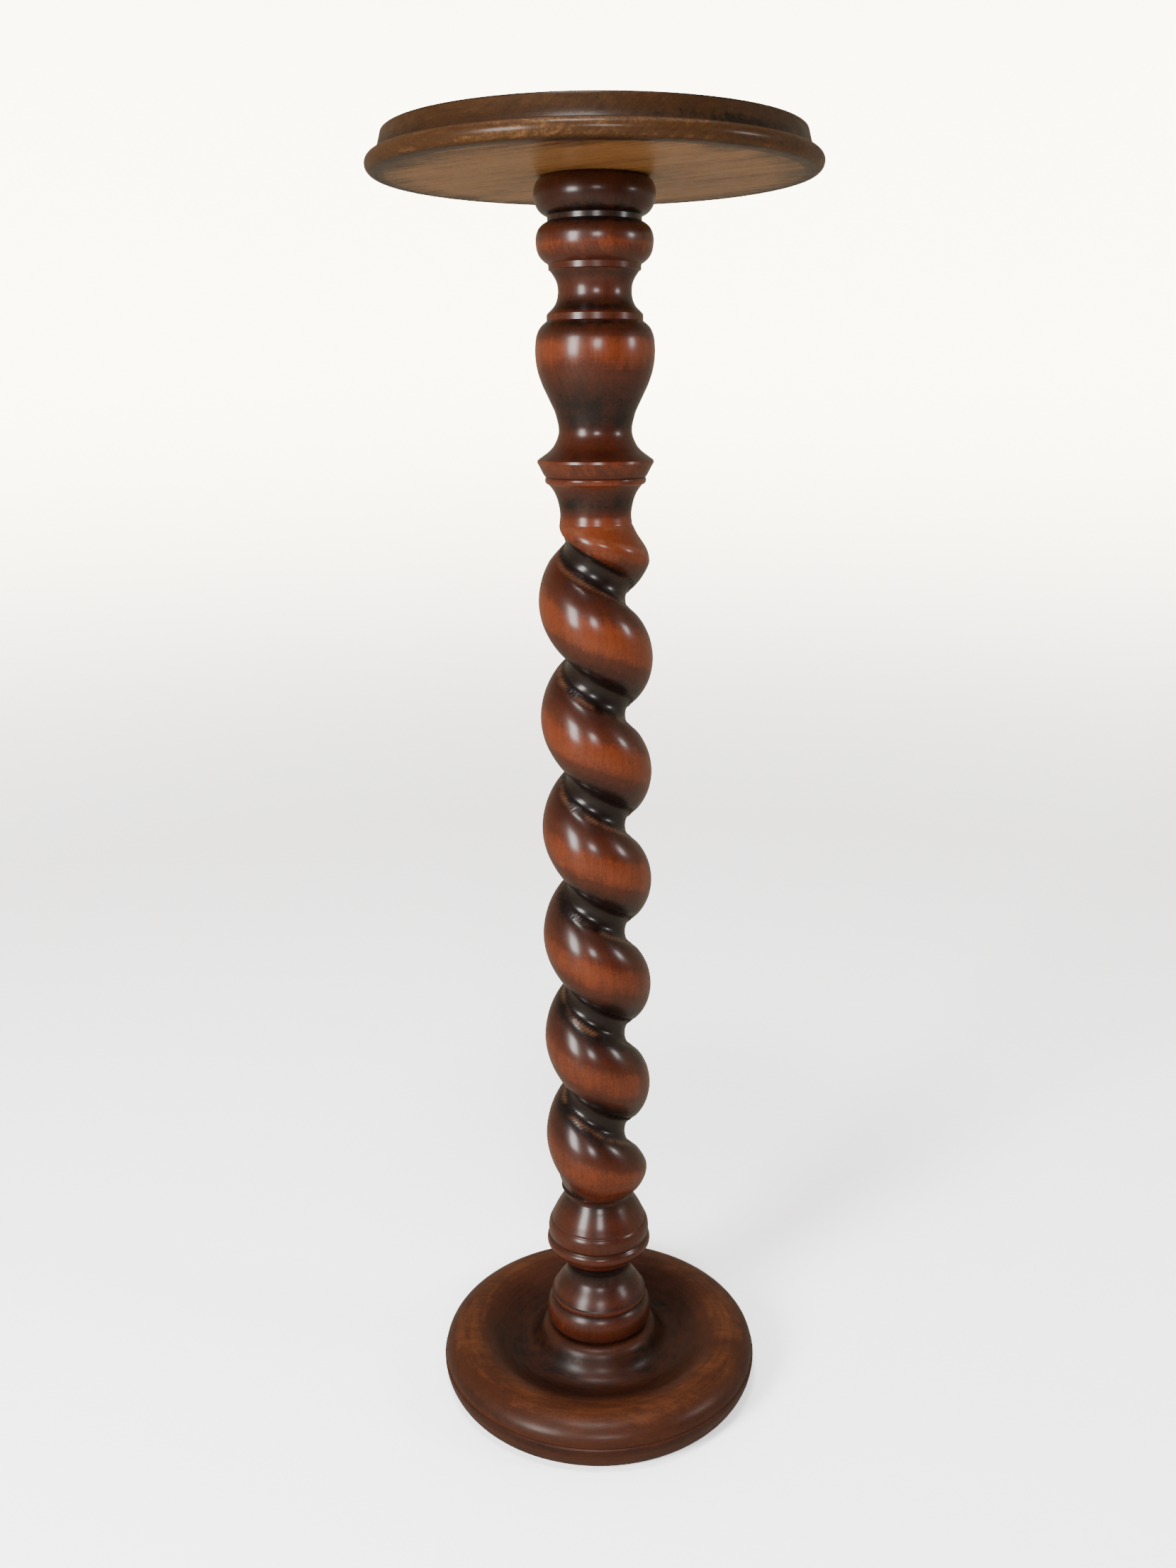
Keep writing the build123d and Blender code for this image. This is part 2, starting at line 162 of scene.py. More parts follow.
def wood(name, grain, pith, seed, shade, dark, mid, light, ring=0.0042, ring_depth=0.30, endgrain=0.5,
         tool="axis", tool_depth=0.12, mottle=0.16, rough=(0.26, 0.42), coat=0.75, coat_rough=0.19, rise=None, span=None, shadow=(0.42, 0.30, 0.26),
         stored=False, streaks=0.55, speck=0.16, level=0.25, swirl=0.0):
    """Stained, shaded and lacquered hardwood.
    grain: None for grain along Z, or the angle of a flat board's grain about +Z.
    pith: place of the tree's centre in the piece's cross-section, in metres.
    shade: stops (millimetres from the column's axis, darkness) of the darkening, partly sprayed toner and partly
    painted shade.
    rise: stops (height in millimetres, darkness) that add to it; span: heights between which shade counts."""
    t = Tree(name)
    tc = t.new("ShaderNodeTexCoord")
    P = tc.outputs["Object"]
    N = tc.outputs["Normal"]
    x, y, z = t.xyz(P)
    r = t.vmath("LENGTH", t.join(x, y, 0.0))
    if grain is None:
        along, c1, c2 = z, x, y
        axis = (0, 0, 1)
    else:
        g = math.radians(grain)
        along = t.add(t.mul(x, math.cos(g)), t.mul(y, math.sin(g)))
        c1 = t.add(t.mul(x, -math.sin(g)), t.mul(y, math.cos(g)))
        c2 = z
        axis = (math.cos(g), math.sin(g), 0)
    end = t.math("ABSOLUTE", t.vmath("DOT_PRODUCT", N, axis))

    # growth rings: cylinders round the pith, wandering slowly along the grain
    slow = t.join(t.mul(c1, 11.0), t.mul(c2, 11.0), t.mul(along, 2.6))
    wander = t.noise_vec(slow, 1.0, 2.0, seed)
    cross = t.vmath("ADD", t.join(t.math("SUBTRACT", c1, pith[0]), t.math("SUBTRACT", c2, pith[1]), 0.0),
                    t.vmath("MULTIPLY", wander, (0.016, 0.016, 0.0)))
    dist = t.vmath("LENGTH", cross)
    pace = t.noise(t.join(t.mul(dist, 60.0), 0.0, 0.0), 1.0, 2.0, 0.6, seed=seed + 3.1)
    count = t.math("DIVIDE", t.add(dist, t.mul(pace, 0.012)), ring)
    phase = t.math("FRACT", count)
    late = t.ramp(phase, [(0.0, 0.15), (0.35, 0.0), (0.72, 0.35), (0.93, 1.0), (1.0, 0.15)], "B_SPLINE")
    which = t.math("FLOOR", count)
    ring_tone = t.noise(t.join(which, 0.0, 0.0), 0.73, 1.0, 0.5, seed=seed + 9.0)

    # fibres, streaks, flecks and pores, all drawn out along the grain
    fibre = t.noise(t.join(t.mul(c1, 1500.0), t.mul(c2, 1500.0), t.mul(along, 60.0)), 1.0, 2.0, 0.6, seed=seed + 1.0)
    streak = t.noise(t.join(t.mul(c1, 230.0), t.mul(c2, 230.0), t.mul(along, 9.0)), 1.0, 4.0, 0.62, 0.15, seed=seed + 2.0)
    band = t.noise(t.join(t.mul(c1, 46.0), t.mul(c2, 46.0), t.mul(along, 4.2)), 1.0, 2.0, 0.5, 0.4, seed=seed + 4.0)
    fd, fc = t.voronoi(t.join(t.mul(c1, 760.0), t.mul(c2, 760.0), t.mul(along, 120.0)), 1.0, seed=seed + 5.0)
    fpick = t.xyz(fc)[0]
    fleck = t.mul(t.remap(fd, 0.16, 0.34, 1.0, 0.0), t.remap(fpick, 0.45, 0.62))
    pd, pc = t.voronoi(t.join(t.mul(c1, 2300.0), t.mul(c2, 2300.0), t.mul(along, 190.0)), 1.0, seed=seed + 6.0)
    pore = t.mul(t.remap(pd, 0.18, 0.36, 1.0, 0.0), t.remap(t.xyz(pc)[1], 0.35, 0.5))

    # marks left by the turning tool, rings about the column's axis
    if tool == "axis":
        tv = t.join(t.mul(z, 1.0), t.mul(r, 1.0), 0.0)
    else:
        tv = t.join(t.mul(r, 1.0), 0.0, 0.0)
    tool_fine = t.noise(tv, 1700.0, 2.0, 0.6, seed=seed + 7.0)
    tool_wide = t.noise(tv, 330.0, 3.0, 0.6, seed=seed + 7.7)
    patch = t.remap(t.noise(P, 26.0, 2.0, 0.5, seed=seed + 8.8), 0.42, 0.66)
    tooling = t.mul(t.math("SUBTRACT", t.add(t.mul(tool_fine, 0.5), t.mul(tool_wide, 0.5)), 0.5), patch)

    # darkening, partly sprayed toner and partly painted shade: dark in hollows and necks, painted light on the bulges,
    # uneven as a hand leaves the toner
    cloud = t.noise(P, 21.0, 3.0, 0.55, 0.3, seed=seed + 10.0)
    small = t.noise(P, 95.0, 2.0, 0.5, seed=seed + 11.0)
    rmax = shade[-1][0]
    tone = t.ramp(t.math("DIVIDE", t.mul(r, 1000.0), rmax), [(p / rmax, v) for p, v in shade], "EASE")
    if stored:
        tone = t.new("ShaderNodeAttribute", attribute_name="hollow").outputs["Fac"]
    if span:
        tone = t.mul(tone, t.mul(t.remap(z, span[0], span[1]), t.remap(z, span[3], span[2])))
    if rise:
        z0, z1 = rise[0][0], rise[-1][0]
        up = t.math("DIVIDE", t.math("SUBTRACT", t.mul(z, 1000.0), z0), z1 - z0)
        tone = t.add(tone, t.ramp(up, [((p - z0) / (z1 - z0), v) for p, v in rise], "LINEAR"))
    tone = t.add(tone, t.mul(t.math("SUBTRACT", cloud, 0.5), 2.0 * mottle))
    tone = t.add(tone, t.mul(t.math("SUBTRACT", small, 0.5), 0.7 * mottle))
    if swirl:
        inv = t.math("DIVIDE", 2.2, t.add(r, 0.001))
        round_ = t.noise(t.join(t.mul(x, inv), t.mul(y, inv), t.mul(t.add(r, z), 210.0)), 1.0, 3.0, 0.6, 0.4, seed=seed + 16.0)
        tone = t.add(tone, t.mul(t.math("SUBTRACT", round_, 0.5), swirl * 2.0))
    grit = t.noise(P, 520.0, 2.0, 0.6, seed=seed + 14.0)
    tone = t.add(tone, t.mul(t.math("SUBTRACT", grit, 0.5), speck * 2.0))
    tone = t.add(tone, t.mul(t.remap(end, 0.45, 0.95), endgrain))
    tone = t.add(tone, t.mul(tooling, tool_depth * 4.0))
    tone = t.add(tone, t.mul(t.math("SUBTRACT", band, 0.5), 0.42))
    tone = t.add(tone, t.mul(t.math("SUBTRACT", ring_tone, 0.5), 0.16))
    tone = t.math("ADD", tone, t.mul(t.math("SUBTRACT", streak, 0.5), streaks), clamp=True)
    colour = t.ramp(tone, [(0.0, light), (0.42, mid), (0.78, tuple(0.5 * (a + b) for a, b in zip(mid, dark))), (1.0, dark)], "EASE")

    # grain over the shading
    depth = t.mul(late, ring_depth)
    colour = t.mix(depth, colour, t.mix(1.0, colour, shadow, "MULTIPLY"))
    colour = t.mix(t.mul(t.remap(fibre, 0.40, 0.68), 0.30), colour, t.mix(1.0, colour, (0.48, 0.40, 0.36), "MULTIPLY"))
    colour = t.mix(t.mul(t.remap(fibre, 0.48, 0.26), 0.22), colour, t.mix(1.0, colour, (1.55, 1.42, 1.30), "MULTIPLY"))
    colour = t.mix(t.mul(fleck, 0.46), colour, t.mix(1.0, colour, (0.40, 0.32, 0.30), "MULTIPLY"))
    colour = t.mix(t.mul(pore, 0.55), colour, t.mix(1.0, colour, (0.30, 0.24, 0.22), "MULTIPLY"))

    if stored:
        # a lighter line along the lips, partly wear and partly painted highlight
        lip = t.new("ShaderNodeAttribute", attribute_name="lip_wear_and_glint").outputs["Fac"]
        lip = t.mul(lip, t.remap(t.noise(P, 60.0, 2.0, 0.5, seed=seed + 15.0), 0.36, 0.60))
        colour = t.mix(t.mul(lip, 0.55), colour, (0.34, 0.150, 0.078))

    height = t.add(t.mul(late, -0.35), t.mul(fibre, 0.30))
    height = t.add(height, t.mul(pore, -0.55))
    height = t.add(height, t.mul(fleck, -0.20))
    height = t.add(height, t.mul(tooling, 1.1))
    normal = t.bump(height, 0.00006, 0.55)
    wave = t.noise(P, 130.0, 2.0, 0.5, seed=seed + 12.0)
    normal = t.bump(wave, 0.00012, 0.30, normal)

    smear = t.noise(P, 48.0, 3.0, 0.6, 0.8, seed=seed + 13.0)
    gloss = t.remap(t.add(t.mul(smear, 0.75), t.mul(fibre, 0.25)), 0.32, 0.68, rough[0], rough[1], smooth=False)
    t.principled(Base_Color=colour, Roughness=gloss, IOR=1.5, Coat_Weight=coat, Coat_Roughness=coat_rough,
                 Coat_IOR=1.5, Specular_IOR_Level=level, Normal=normal)
    return t.mat


def bare_wood(name, grain, seed, light, dark):
    """Unfinished dowel wood."""
    t = Tree(name)
    P = t.new("ShaderNodeTexCoord").outputs["Object"]
    x, y, z = t.xyz(P)
    if grain is None:
        along, c1, c2 = z, x, y
    else:
        g = math.radians(grain)
        along = t.add(t.mul(x, math.cos(g)), t.mul(y, math.sin(g)))
        c1 = t.add(t.mul(x, -math.sin(g)), t.mul(y, math.cos(g)))
        c2 = z
    fibre = t.noise(t.join(t.mul(c1, 1300.0), t.mul(c2, 1300.0), t.mul(along, 55.0)), 1.0, 3.0, 0.6, seed=seed)
    streak = t.noise(t.join(t.mul(c1, 300.0), t.mul(c2, 300.0), t.mul(along, 14.0)), 1.0, 3.0, 0.6, seed=seed + 1)
    fd, fc = t.voronoi(t.join(t.mul(c1, 900.0), t.mul(c2, 900.0), t.mul(along, 150.0)), 1.0, seed=seed + 2)
    fleck = t.mul(t.remap(fd, 0.14, 0.32, 1.0, 0.0), t.remap(t.xyz(fc)[0], 0.5, 0.6))
    colour = t.mix(t.remap(t.add(t.mul(fibre, 0.5), t.mul(streak, 0.5)), 0.36, 0.64), light, dark)
    colour = t.mix(t.mul(fleck, 0.5), colour, tuple(0.55 * c for c in dark))
    height = t.add(t.mul(fibre, 0.6), t.mul(fleck, -0.4))
    t.principled(Base_Color=colour, Roughness=t.remap(fibre, 0.3, 0.7, 0.52, 0.74), Normal=t.bump(height, 0.0001, 0.6))
    return t.mat


def metal(name, bright, dull, rough, seed):
    """Plated or plain metal with fine turning lines, tarnish and small scratches."""
    t = Tree(name)
    P = t.new("ShaderNodeTexCoord").outputs["Object"]
    x, y, z = t.xyz(P)
    turn = t.noise(t.join(t.mul(z, 4200.0), 0.0, 0.0), 1.0, 2.0, 0.6, seed=seed)
    stain = t.noise(P, 240.0, 4.0, 0.6, 0.4, seed=seed + 1)
    grit = t.noise(P, 2400.0, 2.0, 0.6, seed=seed + 2)
    colour = t.mix(t.remap(stain, 0.42, 0.66), bright, dull)
    gloss = t.remap(t.add(t.mul(stain, 0.6), t.mul(grit, 0.4)), 0.3, 0.7, rough[0], rough[1])
    t.principled(Base_Color=colour, Metallic=1.0, Roughness=gloss,
                 Normal=t.bump(t.add(t.mul(turn, 0.6), t.mul(grit, 0.4)), 0.00004, 0.5))
    return t.mat


# ---------------------------------------------------------------- materials
DARK = (0.0105, 0.0036, 0.0028)
MID = (0.088, 0.0180, 0.0062)
LIGHT = (0.238, 0.0480, 0.0125)
TOP_DARK, TOP_MID, TOP_LIGHT = (0.0150, 0.0072, 0.0032), (0.088, 0.0370, 0.0115), (0.410, 0.1960, 0.0680)
BASE_DARK, BASE_MID, BASE_LIGHT = (0.0150, 0.0046, 0.0028), (0.078, 0.0195, 0.0062), (0.170, 0.0500, 0.0150)

# painted shade by height, partly sprayed toner: dark necks and quirks near the foot and under the capital, lighter
# bands between
twist_shade_by_height = [(107, 1.0), (113, 0.95), (116.6, 0.36), (121, 0.44), (124.5, 0.70), (127, 0.42), (131, 0.38), (134.6, 0.86), (137, 0.52),
              (143, 0.52), (148.6, 0.56), (150, 0.60), (158, 0.48), (166, 0.62), (173, 0.90), (179, 0.55), (188, 0.30), (205, 0.16),
              (300, 0.19), (480, 0.10), (640, 0.02), (728, 0.0), (736, 0.12), (740, 0.34), (744, 0.80), (747, 0.96),
              (752, 0.92), (756, 0.74), (760, 0.50), (763, 0.10), (767.3, 0.46)]
turned_twist = wood("turned_wood_twist", None, (0.085, 0.060), 2.0, [(0.0, 0.0), (46.0, 0.0)], DARK, MID, LIGHT, endgrain=0.06,
                    rise=twist_shade_by_height, stored=True, streaks=0.26, mottle=0.21, ring_depth=0.20, coat=0.72, coat_rough=0.21, rough=(0.32, 0.46))
# painted shade and painted reflection by height, partly sprayed toner: upward-facing halves of the beads dark as under
# the top, lit bands on the bulges
capital_shade_by_height = [(767.3, 0.50), (770, 0.34), (776, 0.26), (779, 0.22), (782, 0.55), (790, 0.50), (798, 0.50), (803, 0.86), (809, 0.98),
                (818, 0.92), (827, 0.82), (833, 0.66), (840, 0.44), (846, 0.26), (852, 0.10), (859, 0.02), (864, 0.26), (869, 0.72),
                (875, 0.92), (877, 0.40), (881, 0.34), (884, 0.92), (889, 0.88), (895, 0.44), (901, 0.50), (908, 0.80), (912, 0.46),
                (917, 0.46), (927, 0.16), (934, 0.60), (942, 0.92), (972.5, 0.62)]
turned_capital = wood("turned_wood_capital", None, (-0.070, 0.085), 17.0, [(0.0, 0.0), (46.0, 0.0)], DARK, MID, LIGHT, endgrain=0.10,
                      rise=capital_shade_by_height, streaks=0.42, coat_rough=0.22, rough=(0.32, 0.48), coat=0.75)
# painted shade by height, partly sprayed toner: dark necks and quirks of the foot turning, lighter on the beads
foot_shade_by_height = [(37, 1.0), (49, 0.95), (52, 0.72), (57, 0.50), (64, 0.40), (70, 0.52), (74.4, 0.92), (76, 0.50), (79, 0.46), (80.6, 0.86),
             (84, 0.54), (91, 0.60), (97, 0.84), (107, 1.0)]
turned_foot = wood("turned_wood_foot", None, (0.060, -0.095), 29.0, [(0.0, 0.0), (46.0, 0.0)], DARK, MID, LIGHT, endgrain=0.10,
                   rise=foot_shade_by_height, streaks=0.40, coat_rough=0.27, rough=(0.36, 0.52), coat=0.6)

top_shade = [(0.0, 0.06), (120.0, 0.08), (145.0, 0.26), (149.0, 0.62), (152.0, 0.86), (154.5, 0.66), (158.0, 0.40), (160.0, 0.46)]
board_front = wood("board_wood_front", -36.6, (-0.040, 0.930), 41.0, top_shade, TOP_DARK, TOP_MID, TOP_LIGHT, ring=0.0036,
                   tool="face", endgrain=0.12, coat=0.40, coat_rough=0.24, rough=(0.42, 0.58), level=0.15,
                  rise=[(972.5, 0.0), (998.4, 0.0), (999.5, 0.42), (1000.0, 0.42)])
board_back = wood("board_wood_back", -36.6, (0.070, 1.060), 53.0, top_shade, TOP_DARK, TOP_MID, TOP_LIGHT, ring=0.0040,
                  tool="face", endgrain=0.12, coat=0.40, coat_rough=0.24, rough=(0.42, 0.58), level=0.15,
                  rise=[(972.5, 0.0), (998.4, 0.0), (999.5, 0.42), (1000.0, 0.42)])

# painted shade by radius, partly sprayed toner: dark dish and hub round the foot of the column, light on the crest,
# dark lower band
base_shade = [(0.0, 0.86), (42.0, 0.70), (45.5, 0.56), (50.0, 0.80), (58.0, 0.86), (66.0, 0.80), (76.0, 0.76), (84.0, 0.66), (92.0, 0.50),
              (101.0, 0.32), (112.0, 0.22), (122.0, 0.27), (129.0, 0.40), (132.6, 0.52), (133.8, 0.38), (134.4, 0.64), (135.0, 0.82)]
base_front = wood("base_wood_front", -8.0, (-0.030, -0.060), 67.0, base_shade, BASE_DARK, BASE_MID, BASE_LIGHT, ring=0.0046, ring_depth=0.17, mottle=0.24, streaks=0.36, swirl=0.36,
                  tool="face", tool_depth=0.26, endgrain=0.16, coat=0.42, coat_rough=0.33, rough=(0.46, 0.62), level=0.2)
base_back = wood("base_wood_back", -8.0, (0.080, -0.070), 79.0, base_shade, BASE_DARK, BASE_MID, BASE_LIGHT, ring=0.0042, ring_depth=0.17, mottle=0.24, streaks=0.36, swirl=0.36,
                 tool="face", tool_depth=0.26, endgrain=0.16, coat=0.42, coat_rough=0.33, rough=(0.46, 0.62), level=0.2)

dowel_z = bare_wood("dowel_wood_upright", None, 91.0, (0.56, 0.38, 0.22), (0.40, 0.24, 0.125))
dowel_top = bare_wood("dowel_wood_top", 53.4, 95.0, (0.56, 0.38, 0.22), (0.40, 0.24, 0.125))
dowel_base = bare_wood("dowel_wood_base", 82.0, 99.0, (0.56, 0.38, 0.22), (0.40, 0.24, 0.125))
steel = metal("steel_zinc", (0.56, 0.56, 0.57), (0.34, 0.33, 0.31), (0.24, 0.46), 3.0)
brass = metal("brass_plain", (0.78, 0.55, 0.24), (0.42, 0.28, 0.11), (0.22, 0.42), 7.0)

LOOK = {
    "twist_shaft": turned_twist, "capital_turning": turned_capital, "foot_turning": turned_foot,
    "top_board_front": board_front, "top_board_back": board_back,
    "base_board_front": base_front, "base_board_back": base_back,
    "collar_dowel": dowel_z, "foot_dowel": dowel_z, "top_edge_dowels": dowel_top, "base_edge_dowels": dowel_base,
    "top_threaded_insert": brass, "top_hanger_bolt": steel, "base_washer": steel, "base_coach_screw": steel,
}
for name, mat in LOOK.items():
    for s in nodes[name].material_slots:
        s.material = mat

# ---------------------------------------------------------------- carved shaft, a fine mesh of the same turning
PITCH, HOLLOW_W, LIP_W = 89.3, 22.6, 1.5
RIDGE_R, LIP_R, CORE_R, POWER, FRONT_Z = 43.4, 27.3, 22.3, 0.62, 609.1


def through(points, n=14):
    """Points of a smooth line through the given ones."""
    p = np.array(points, float)
    if len(p) < 3:
        return p
    q = np.vstack([2 * p[0] - p[1], p, 2 * p[-1] - p[-2]])
    out = []
    for i in range(1, len(q) - 2):
        d = [max(1e-6, np.linalg.norm(q[i + k] - q[i + k - 1]) ** 0.5) for k in (0, 1, 2)]
        m1 = ((q[i] - q[i - 1]) / d[0] - (q[i + 1] - q[i - 1]) / (d[0] + d[1]) + (q[i + 1] - q[i]) / d[1]) * d[1]
        m2 = ((q[i + 1] - q[i]) / d[1] - (q[i + 2] - q[i]) / (d[1] + d[2]) + (q[i + 2] - q[i + 1]) / d[2]) * d[1]
        t = np.linspace(0, 1, n, endpoint=False)[:, None]
        out.append((2 * t**3 - 3 * t**2 + 1) * q[i] + (t**3 - 2 * t**2 + t) * m1 + (-2 * t**3 + 3 * t**2) * q[i + 1] + (t**3 - t**2) * m2)
    return np.vstack(out + [p[-1:]])


SHAFT = [
    [(26.9, 107.0), (27.6, 111.0), (33.6, 116.6)],
    [(33.6, 116.6), (34.2, 117.6)],
    [(34.2, 117.6), (36.6, 121.8), (39.6, 124.6)],
    [(39.6, 124.6), (42.0, 125.2), (43.6, 127.0), (44.0, 129.6), (43.4, 132.4), (41.8, 134.4)],
    [(41.8, 134.4), (41.2, 135.0)],
    [(41.2, 135.0), (42.2, 136.4), (42.7, 139.6), (42.6, 142.6), (41.8, 146.0), (40.4, 148.8)],
    [(40.4, 148.8), (39.4, 149.6)],
    [(39.4, 149.6), (39.3, 151.0)],
    [(39.3, 151.0), (38.1, 153.6), (36.3, 157.4), (34.0, 161.6), (31.4, 166.0), (28.9, 170.2), (27.5, 173.6), (28.2, 176.6),
     (30.8, 179.0), (34.0, 181.8), (36.9, 185.2), (39.4, 190.0), (41.2, 195.4), (42.8, 203.0), (43.6, 214.0), (43.8, 226.0)],
    [(43.8, 226.0), (43.8, 672.0)],
    [(43.8, 672.0), (43.4, 686.0), (42.3, 696.0), (40.9, 703.4), (39.8, 709.4), (38.3, 714.2), (35.2, 719.4), (31.4, 725.0),
     (28.6, 730.6), (27.1, 735.2), (26.6, 739.0), (26.9, 743.2), (28.0, 749.0), (30.2, 755.0), (32.2, 758.4), (34.6, 761.4)],
    [(34.6, 761.4), (36.9, 762.6)],
    [(36.9, 762.6), (37.5, 764.4), (37.4, 766.2), (36.6, 767.3)],
]
blank_line = np.vstack([through(seg) for seg in SHAFT])
blank_line = blank_line[np.argsort(blank_line[:, 1], kind="stable")]


def smooth_min(a, b, k):
    h = np.clip(0.5 + 0.5 * (b - a) / k, 0.0, 1.0)
    return b * (1 - h) + a * h - k * h * (1 - h)


def step(v, a, b):
    t = np.clip((v - a) / (b - a), 0.0, 1.0)
    return t * t * (3 - 2 * t)


def shaft_radius(phi, z):
    """Radius of the carved shaft in millimetres at azimuth phi and height z."""
    blank = np.interp(z, blank_line[:, 1], blank_line[:, 0])
    half = PITCH / 2
    s = z - FRONT_Z + (phi + math.pi / 2) / (2 * math.pi) * PITCH
    s = np.abs((s + half) % PITCH - half)
    lip_in, lip_out = HOLLOW_W / 2 - LIP_W, HOLLOW_W / 2
    hollow = CORE_R + (LIP_R - 0.3 - CORE_R) * (1 - np.sqrt(np.maximum(0.0, 1 - np.minimum(s / lip_in, 1.0) ** 2)))
    land = LIP_R - 0.3 * (lip_out - s) / LIP_W
    t = np.clip((half - s) / (half - lip_out), 0.0, 1.0)
    fade = 1 - np.clip((z - 704.0) / 29.0, 0.0, 1.0) ** 1.45
    ridge = LIP_R + (RIDGE_R - LIP_R) * np.maximum(0.0, np.cos(np.pi / 2 * t)) ** POWER * fade
    r = np.where(s <= lip_in, hollow, np.where(s <= lip_out, land, ridge))
    run = np.interp(z, [0, 172, 176, 181, 186, 190, 197, 206, 216, 708, 717, 727, 738, 745, 770],
                    [27, 27.4, 28.0, 29.8, 31.6, 33.0, 34.0, 30.0, 16, 16, 22, 25.2, 26.9, 28.2, 60])
    r = -smooth_min(-r, -run, 0.8)
    r = r + (60.0 - r) * step(z, 181.0, 174.0)
    k = 0.5 + 0.9 * step(z, 684.0, 706.0) * step(z, 742.0, 728.0) + 2.4 * step(z, 212.0, 196.0) * step(z, 170.0, 178.0)
    # how deep in the hollows a point lies, for the darkening (partly sprayed toner, partly painted shade), and where
    # the lower lip shows wear with a painted highlight
    u = (z - FRONT_Z + (phi + math.pi / 2) / (2 * math.pi) * PITCH + half) % PITCH - half
    upper = np.interp(t, [0.0, 0.25, 0.45, 0.65, 0.85, 1.0], [0.06, 0.12, 0.30, 0.52, 0.68, 0.80])
    lower = np.interp(t, [0.0, 0.30, 0.50, 0.70, 0.85, 1.0], [0.06, 0.16, 0.40, 0.70, 0.90, 1.0])
    deep = np.where(s < lip_out, 1.0, np.where(u < 0, upper, lower)) * np.clip((blank - r) / 2.0, 0.0, 1.0)
    # painted shade eased by height: the hollows near the foot and the first ridge's lower face kept lighter
    deep = deep * (1.0 - 0.55 * step(z, 206.0, 186.0)) * (1.0 - 0.85 * step(z, 716.0, 731.0))
    deep = deep * np.where(s < lip_out, 1.0, 1.0 - 0.72 * step(z, 690.0, 712.0))
    # lighter line along the lower lips and on the first ridge's arris: partly wear, partly painted highlight
    wear_and_glint = np.exp(-((u + lip_out + 0.2) / 1.0) ** 2) * step(z, 196.0, 214.0) * step(z, 712.0, 700.0)
    wear_and_glint = np.maximum(wear_and_glint, 0.8 * np.exp(-((blank - r) / 0.5) ** 2) * step(z, 700.0, 708.0) * step(z, 735.0, 729.0))
    return smooth_min(blank, r, k), deep, wear_and_glint


def carved_shaft():
    N = 160
    rows = np.concatenate([np.arange(107.0, 182.0, 0.55), np.arange(182.0, 730.0, 1.4), np.arange(730.0, 767.3, 0.55), [767.3]])
    phi = np.linspace(0, 2 * math.pi, N, endpoint=False)
    PH, Z = np.meshgrid(phi, rows)
    R, deep, wear_and_glint = shaft_radius(PH, Z)
    # the carver's hand: slow unevenness of a few tenths, none at the joints
    hand = (0.16 * np.sin(3 * PH + Z / 23.0) + 0.13 * np.sin(5 * PH - Z / 14.0 + 1.3) + 0.12 * np.sin(2 * PH + Z / 51.0 + 0.7))
    hand = hand * step(Z, 178.0, 200.0) * step(Z, 726.0, 706.0) * step(R, 30.0, 38.0)
    R = R + hand - 0.18 * step(R, 40.0, 43.0)
    ring_r = lambda z: (np.full(N, 10.1), np.full(N, z))
    rr = [ring_r(143.0), ring_r(107.0)] + [(R[i], Z[i]) for i in range(len(rows))] + [ring_r(767.3), ring_r(731.3)]
    rad = np.array([a for a, _ in rr])
    zz = np.array([b for _, b in rr])
    co = np.stack([rad * np.cos(phi), rad * np.sin(phi), zz], -1).reshape(-1, 3) / 1000.0
    M = len(rr)
    co = np.vstack([co, [[0, 0, 0.143], [0, 0, 0.7313]]])
    i, j = np.meshgrid(np.arange(M - 1), np.arange(N), indexing="ij")
    a, b = i * N + j, i * N + (j + 1) % N
    quads = np.stack([a, b, b + N, a + N], -1).reshape(-1, 4)
    faces = quads.tolist()
    j = np.arange(N)
    faces += [(M * N, int((k + 1) % N), int(k)) for k in j]
    faces += [(M * N + 1, int((M - 1) * N + k), int((M - 1) * N + (k + 1) % N)) for k in j]
    me = bpy.data.meshes.new("twist_shaft_carved")
    me.from_pydata(co.tolist(), [], faces)
    me.shade_smooth()
    me.set_sharp_from_angle(angle=math.radians(48))
    zero = np.zeros((2, N))
    for label, values in (("hollow", deep), ("lip_wear_and_glint", wear_and_glint)):
        layer = me.attributes.new(label, "FLOAT", "POINT")
        layer.data.foreach_set("value", np.concatenate([np.vstack([zero, values, zero]).ravel(), [0.0, 0.0]]).astype(np.float32))
    me.materials.append(turned_twist)
    ob = bpy.data.objects.new("twist_shaft_carved", me)
    scene.collection.objects.link(ob)
    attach(ob, "root")
    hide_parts("twist_shaft")
    return ob


carved_shaft()

# ---------------------------------------------------------------- stage: a pale floor that sweeps up into a pale surround
FLOOR_SEEN = 4.6                     # the camera sees the stage brighter than it lights the piece


